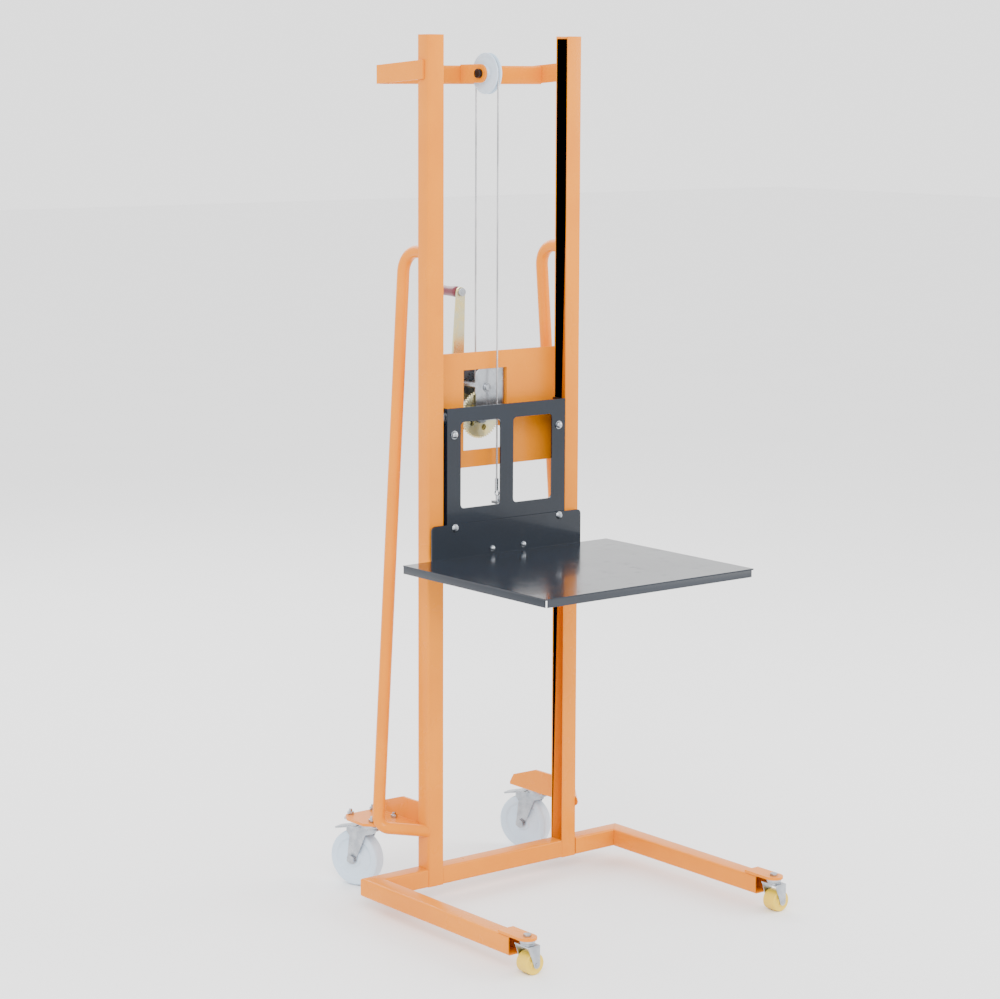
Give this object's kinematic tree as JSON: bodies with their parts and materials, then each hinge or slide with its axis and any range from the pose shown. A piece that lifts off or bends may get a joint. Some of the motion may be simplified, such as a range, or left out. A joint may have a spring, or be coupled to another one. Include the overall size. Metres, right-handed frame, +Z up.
{
  "type": "drywall lift",
  "caption": "Upright hand-winch platform lift on casters: two channel masts, U base with forward legs, platform carriage raised by a rope over a top sheave, push handles.",
  "frame": {"origin": "centre of the footprint box on the floor", "axes": "+Z up along the masts, -Y the front where the legs and platform point, +Y the rear with handles and large casters, +X to the right seen from the rear"},
  "size_m": [0.7294, 0.802, 1.856],
  "materials": {
    "orange_paint": "glossy powder coat",
    "black_paint": "glossy powder coat",
    "zinc": "zinc plated",
    "yellow_zinc": "yellow chromate zinc",
    "nylon": "satin",
    "amber_tread": "satin polyurethane",
    "grip": "smooth",
    "rope": "stranded wire",
    "dark_steel": "blackened"
  },
  "bodies": {
    "frame": {"mast_left": "orange_paint", "mast_right": "orange_paint", "base_crossbar": "orange_paint", "base_stub_left": "orange_paint", "leg_left": "orange_paint", "toe_plate_left": "orange_paint", "base_stub_right": "orange_paint", "leg_right": "orange_paint", "toe_plate_right": "orange_paint", "front_bolt_left": "zinc", "front_bolt_right": "zinc", "caster_bracket_left": "orange_paint", "caster_head_left": "zinc", "caster_bracket_right": "orange_paint", "caster_head_right": "zinc", "handle_left": "orange_paint", "handle_right": "orange_paint", "head_crossbar": "orange_paint", "head_arm_left": "orange_paint", "head_arm_right": "orange_paint", "sheave_cheek_left": "orange_paint", "sheave_cheek_right": "orange_paint", "sheave_axle": "dark_steel", "winch_panel": "orange_paint", "winch_frame": "zinc", "drum_axle": "zinc", "rope_rear": "rope", "rope_front": "rope"},
    "carriage": {"carriage_frame": "black_paint", "rope_anchor": "zinc", "roller_axle_upper": "zinc", "roller_axle_lower": "zinc", "platform": "black_paint", "platform_support_left": "black_paint", "platform_support_right": "black_paint", "platform_bolt_left": "zinc", "platform_bolt_right": "zinc"},
    "sheave": {"sheave": "nylon"},
    "drum": {"winch_drum": "yellow_zinc", "rope_winding": "rope"},
    "crank": {"pinion_shaft": "zinc", "ratchet_wheel": "yellow_zinc", "crank_arm": "yellow_zinc", "crank_pin": "zinc"},
    "grip": {"crank_grip": "grip"},
    "pawl": {"ratchet_pawl": "zinc"},
    "guide_roller_upper_left": {"guide_roller_upper_left": "nylon"},
    "guide_roller_upper_right": {"guide_roller_upper_right": "nylon"},
    "guide_roller_lower_left": {"guide_roller_lower_left": "nylon"},
    "guide_roller_lower_right": {"guide_roller_lower_right": "nylon"},
    "rear_fork_left": {"rear_fork_left": "zinc"},
    "rear_wheel_left": {"rear_wheel_left": "nylon"},
    "brake_pedal_left": {"brake_pedal_left": "zinc"},
    "front_fork_left": {"front_fork_left": "zinc"},
    "front_wheel_left": {"front_wheel_left": "amber_tread"},
    "rear_fork_right": {"rear_fork_right": "zinc"},
    "rear_wheel_right": {"rear_wheel_right": "nylon"},
    "brake_pedal_right": {"brake_pedal_right": "zinc"},
    "front_fork_right": {"front_fork_right": "zinc"},
    "front_wheel_right": {"front_wheel_right": "amber_tread"}
  },
  "joints": [
    {"name": "carriage_slide", "type": "slide", "parent": "frame", "child": "carriage", "axis": [0, 0, 1], "range_m": [-0.65, 0.7], "deforming": ["rope_front"]},
    {"name": "sheave_spin", "type": "hinge", "parent": "frame", "child": "sheave", "pos_m": [-0.00475, 0.193, 1.776], "axis": [1, 0, 0], "range_deg": [-1058, 983]},
    {"name": "drum_spin", "type": "hinge", "parent": "frame", "child": "drum", "pos_m": [-0.03075, 0.205, 1.044], "axis": [0, 1, 0], "range_deg": [-1435, 1545]},
    {"name": "crank_turn", "type": "hinge", "parent": "frame", "child": "crank", "pos_m": [-0.01855, 0.277, 1.10377], "axis": [0, 1, 0], "range_deg": [-7014, 6513]},
    {"name": "guide_roller_upper_left_spin", "type": "hinge", "parent": "carriage", "child": "guide_roller_upper_left", "pos_m": [-0.18675, 0.145, 1.052], "axis": [1, 0, 0], "range_deg": [-2260, 2433]},
    {"name": "guide_roller_upper_right_spin", "type": "hinge", "parent": "carriage", "child": "guide_roller_upper_right", "pos_m": [0.17725, 0.145, 1.052], "axis": [1, 0, 0], "range_deg": [-2260, 2433]},
    {"name": "guide_roller_lower_left_spin", "type": "hinge", "parent": "carriage", "child": "guide_roller_lower_left", "pos_m": [-0.18675, 0.145, 0.79], "axis": [1, 0, 0], "range_deg": [-2433, 2260]},
    {"name": "guide_roller_lower_right_spin", "type": "hinge", "parent": "carriage", "child": "guide_roller_lower_right", "pos_m": [0.17725, 0.145, 0.79], "axis": [1, 0, 0], "range_deg": [-2433, 2260]},
    {"name": "grip_spin", "type": "hinge", "parent": "crank", "child": "grip", "pos_m": [-0.00883, 0.341, 1.30253], "axis": [0, 1, 0], "continuous": true},
    {"name": "pawl_lift", "type": "hinge", "parent": "frame", "child": "pawl", "pos_m": [0.00945, 0.262, 1.12577], "axis": [0, 1, 0], "range_deg": [0, 25]},
    {"name": "rear_swivel_left", "type": "hinge", "parent": "frame", "child": "rear_fork_left", "pos_m": [-0.24375, 0.289, 0.14], "axis": [0, 0, 1], "continuous": true},
    {"name": "rear_roll_left", "type": "hinge", "parent": "rear_fork_left", "child": "rear_wheel_left", "pos_m": [-0.25743, 0.32659, 0.0625], "axis": [0.9397, 0.342, 0], "continuous": true},
    {"name": "brake_press_left", "type": "hinge", "parent": "rear_fork_left", "child": "brake_pedal_left", "pos_m": [-0.25948, 0.33223, 0.131], "axis": [0.9397, 0.342, 0], "range_deg": [-6, 0]},
    {"name": "front_swivel_left", "type": "hinge", "parent": "frame", "child": "front_fork_left", "pos_m": [-0.34475, -0.377, 0.062], "axis": [0, 0, 1], "continuous": true},
    {"name": "front_roll_left", "type": "hinge", "parent": "front_fork_left", "child": "front_wheel_left", "pos_m": [-0.33775, -0.377, 0.0225], "axis": [0, 1, 0], "continuous": true},
    {"name": "rear_swivel_right", "type": "hinge", "parent": "frame", "child": "rear_fork_right", "pos_m": [0.23425, 0.289, 0.14], "axis": [0, 0, 1], "continuous": true},
    {"name": "rear_roll_right", "type": "hinge", "parent": "rear_fork_right", "child": "rear_wheel_right", "pos_m": [0.22057, 0.32659, 0.0625], "axis": [0.9397, 0.342, 0], "continuous": true},
    {"name": "brake_press_right", "type": "hinge", "parent": "rear_fork_right", "child": "brake_pedal_right", "pos_m": [0.21852, 0.33223, 0.131], "axis": [0.9397, 0.342, 0], "range_deg": [-6, 0]},
    {"name": "front_swivel_right", "type": "hinge", "parent": "frame", "child": "front_fork_right", "pos_m": [0.33525, -0.377, 0.062], "axis": [0, 0, 1], "continuous": true},
    {"name": "front_roll_right", "type": "hinge", "parent": "front_fork_right", "child": "front_wheel_right", "pos_m": [0.34225, -0.377, 0.0225], "axis": [0, 1, 0], "continuous": true}
  ],
  "couplings": [
    {"joint": "sheave_spin", "follows": "carriage_slide", "rad_per_m": -26.316},
    {"joint": "drum_spin", "follows": "carriage_slide", "rad_per_m": 38.462},
    {"joint": "crank_turn", "follows": "carriage_slide", "rad_per_m": -174.83},
    {"joint": "guide_roller_upper_left_spin", "follows": "carriage_slide", "rad_per_m": 60.606},
    {"joint": "guide_roller_upper_right_spin", "follows": "carriage_slide", "rad_per_m": 60.606},
    {"joint": "guide_roller_lower_left_spin", "follows": "carriage_slide", "rad_per_m": -60.606},
    {"joint": "guide_roller_lower_right_spin", "follows": "carriage_slide", "rad_per_m": -60.606}
  ]
}
